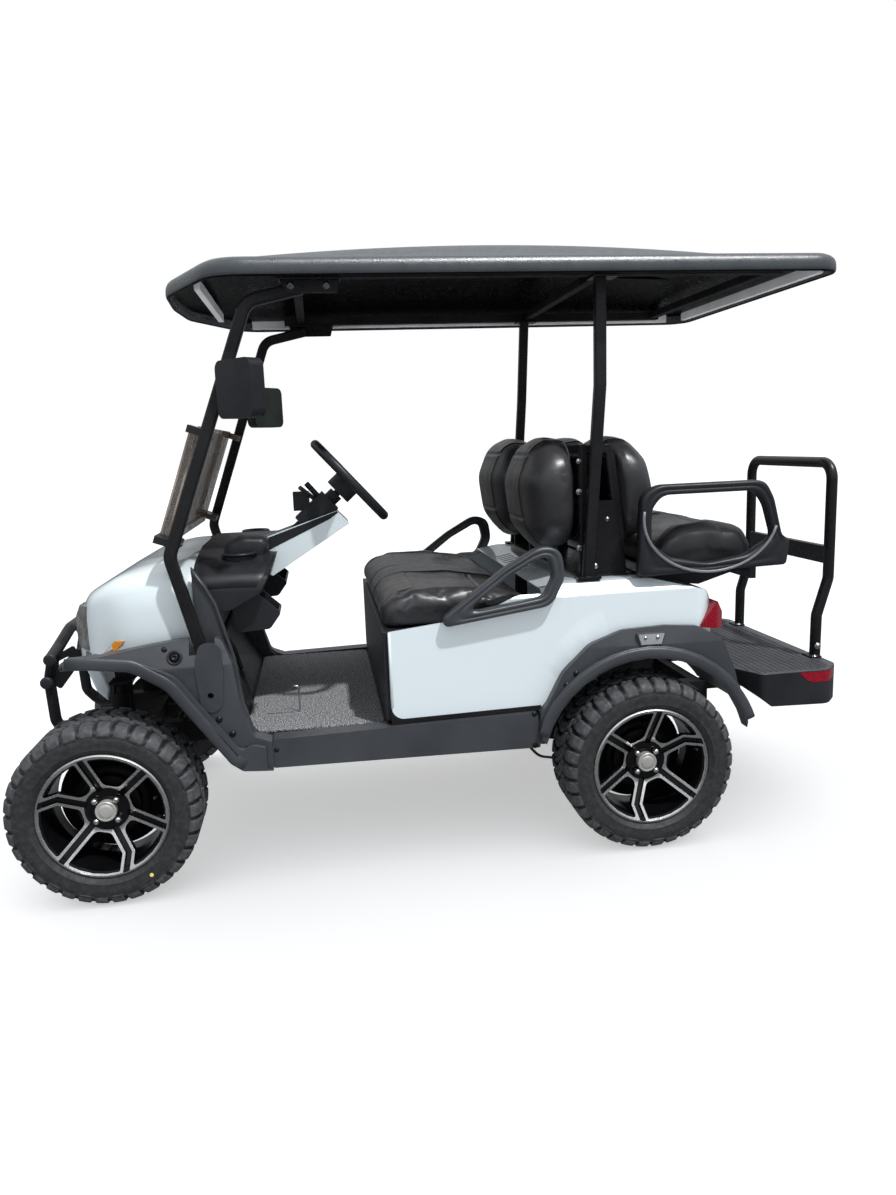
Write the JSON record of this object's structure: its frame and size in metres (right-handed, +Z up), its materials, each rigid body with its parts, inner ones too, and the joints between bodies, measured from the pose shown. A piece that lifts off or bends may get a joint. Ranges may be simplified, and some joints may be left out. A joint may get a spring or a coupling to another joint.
{
  "type": "golf cart",
  "caption": "Lifted electric golf cart with a roof, folded windshield, front bench, rear-facing flip seat, footplate and grab bar.",
  "frame": {"origin": "centre of the bounding box at ground level, where the tyres stand", "axes": "+X towards the rear, +Y towards the cart's right side, +Z up; the cart faces -X"},
  "size_m": [2.7714, 1.3792, 1.912],
  "materials": {
    "body_paint": "gloss pearl",
    "charcoal": "grained",
    "black_steel": "powder coat",
    "grey_steel": "satin",
    "rubber": "matt",
    "alloy": "machined and black",
    "vinyl": "satin",
    "mat_grey": "speckled",
    "screen": "smoked",
    "lamp": "clear and coloured",
    "strip": "satin",
    "battery": "matt"
  },
  "bodies": {
    "cart": {"battery_pack": "battery", "brush_guard": "black_steel", "canopy": "charcoal", "canopy_rails": "strip", "chassis_frame": "black_steel", "column_cover": "body_paint", "dash": "charcoal", "floor_mat": "mat_grey", "floor_pan": "charcoal", "footplate": "charcoal", "front_backrests": "vinyl", "front_cowl": "body_paint", "front_flares": "charcoal", "front_lamps": "lamp", "front_struts": "black_steel", "front_suspension": "grey_steel", "grab_bar": "black_steel", "hip_restraints": "charcoal", "kick_panels": "charcoal", "mirrors": "charcoal", "pedals": "black_steel", "rear_armrests": "charcoal", "rear_axle": "grey_steel", "rear_backrests": "vinyl", "rear_body": "body_paint", "rear_flares": "charcoal", "rear_seat_base": "charcoal", "rear_struts": "black_steel", "roof_bearers": "black_steel", "seat_back_frame": "black_steel", "seat_pod": "charcoal", "sills": "charcoal", "steering_column": "black_steel", "tail_lamps": "lamp", "windshield": "screen"},
    "steering_wheel": {"steering_wheel": "charcoal"},
    "steering_rack": {"steering_rack": "grey_steel"},
    "knuckle_left": {"knuckle_left": "grey_steel"},
    "knuckle_right": {"knuckle_right": "grey_steel"},
    "front_seat": {"front_seat_cushion": "vinyl"},
    "rear_seat": {"rear_seat_cushion": "vinyl"},
    "wheel_front_left": {"tyre_front_left": "rubber", "rim_front_left": "alloy"},
    "wheel_front_right": {"tyre_front_right": "rubber", "rim_front_right": "alloy"},
    "wheel_rear_left": {"tyre_rear_left": "rubber", "rim_rear_left": "alloy"},
    "wheel_rear_right": {"tyre_rear_right": "rubber", "rim_rear_right": "alloy"}
  },
  "joints": [
    {"name": "steer", "type": "hinge", "parent": "cart", "child": "steering_wheel", "pos_m": [-0.3233, -0.28, 1.209], "axis": [0.749, 0, 0.6626], "range_deg": [-450, 450]},
    {"name": "rack_slide", "type": "slide", "parent": "cart", "child": "steering_rack", "axis": [0, 1, 0], "range_m": [-0.0466, 0.0466]},
    {"name": "kingpin_left", "type": "hinge", "parent": "cart", "child": "knuckle_left", "pos_m": [-1.1063, -0.405, 0.2794], "axis": [0, 0, 1], "range_deg": [-25, 25]},
    {"name": "kingpin_right", "type": "hinge", "parent": "cart", "child": "knuckle_right", "pos_m": [-1.1063, 0.405, 0.2794], "axis": [0, 0, 1], "range_deg": [-25, 25]},
    {"name": "roll_front_left", "type": "hinge", "parent": "knuckle_left", "child": "wheel_front_left", "pos_m": [-1.1063, -0.5375, 0.2794], "axis": [0, 1, 0], "continuous": true},
    {"name": "roll_front_right", "type": "hinge", "parent": "knuckle_right", "child": "wheel_front_right", "pos_m": [-1.1063, 0.5375, 0.2794], "axis": [0, 1, 0], "continuous": true},
    {"name": "roll_rear_left", "type": "hinge", "parent": "cart", "child": "wheel_rear_left", "pos_m": [0.5697, -0.5375, 0.2794], "axis": [0, 1, 0], "continuous": true},
    {"name": "roll_rear_right", "type": "hinge", "parent": "cart", "child": "wheel_rear_right", "pos_m": [0.5697, 0.5375, 0.2794], "axis": [0, 1, 0], "continuous": true},
    {"name": "front_seat_tilt", "type": "hinge", "parent": "cart", "child": "front_seat", "pos_m": [-0.2533, 0, 0.757], "axis": [0, -1, 0], "range_deg": [0, 50]},
    {"name": "rear_seat_flip", "type": "hinge", "parent": "cart", "child": "rear_seat", "pos_m": [0.9717, 0, 0.899], "axis": [0, 1, 0], "range_deg": [0, 180]}
  ],
  "couplings": [
    {"joint": "kingpin_left", "follows": "steer", "ratio": 0.0555},
    {"joint": "kingpin_right", "follows": "steer", "ratio": 0.0555},
    {"joint": "rack_slide", "follows": "steer", "m_per_rad": 0.00592}
  ]
}
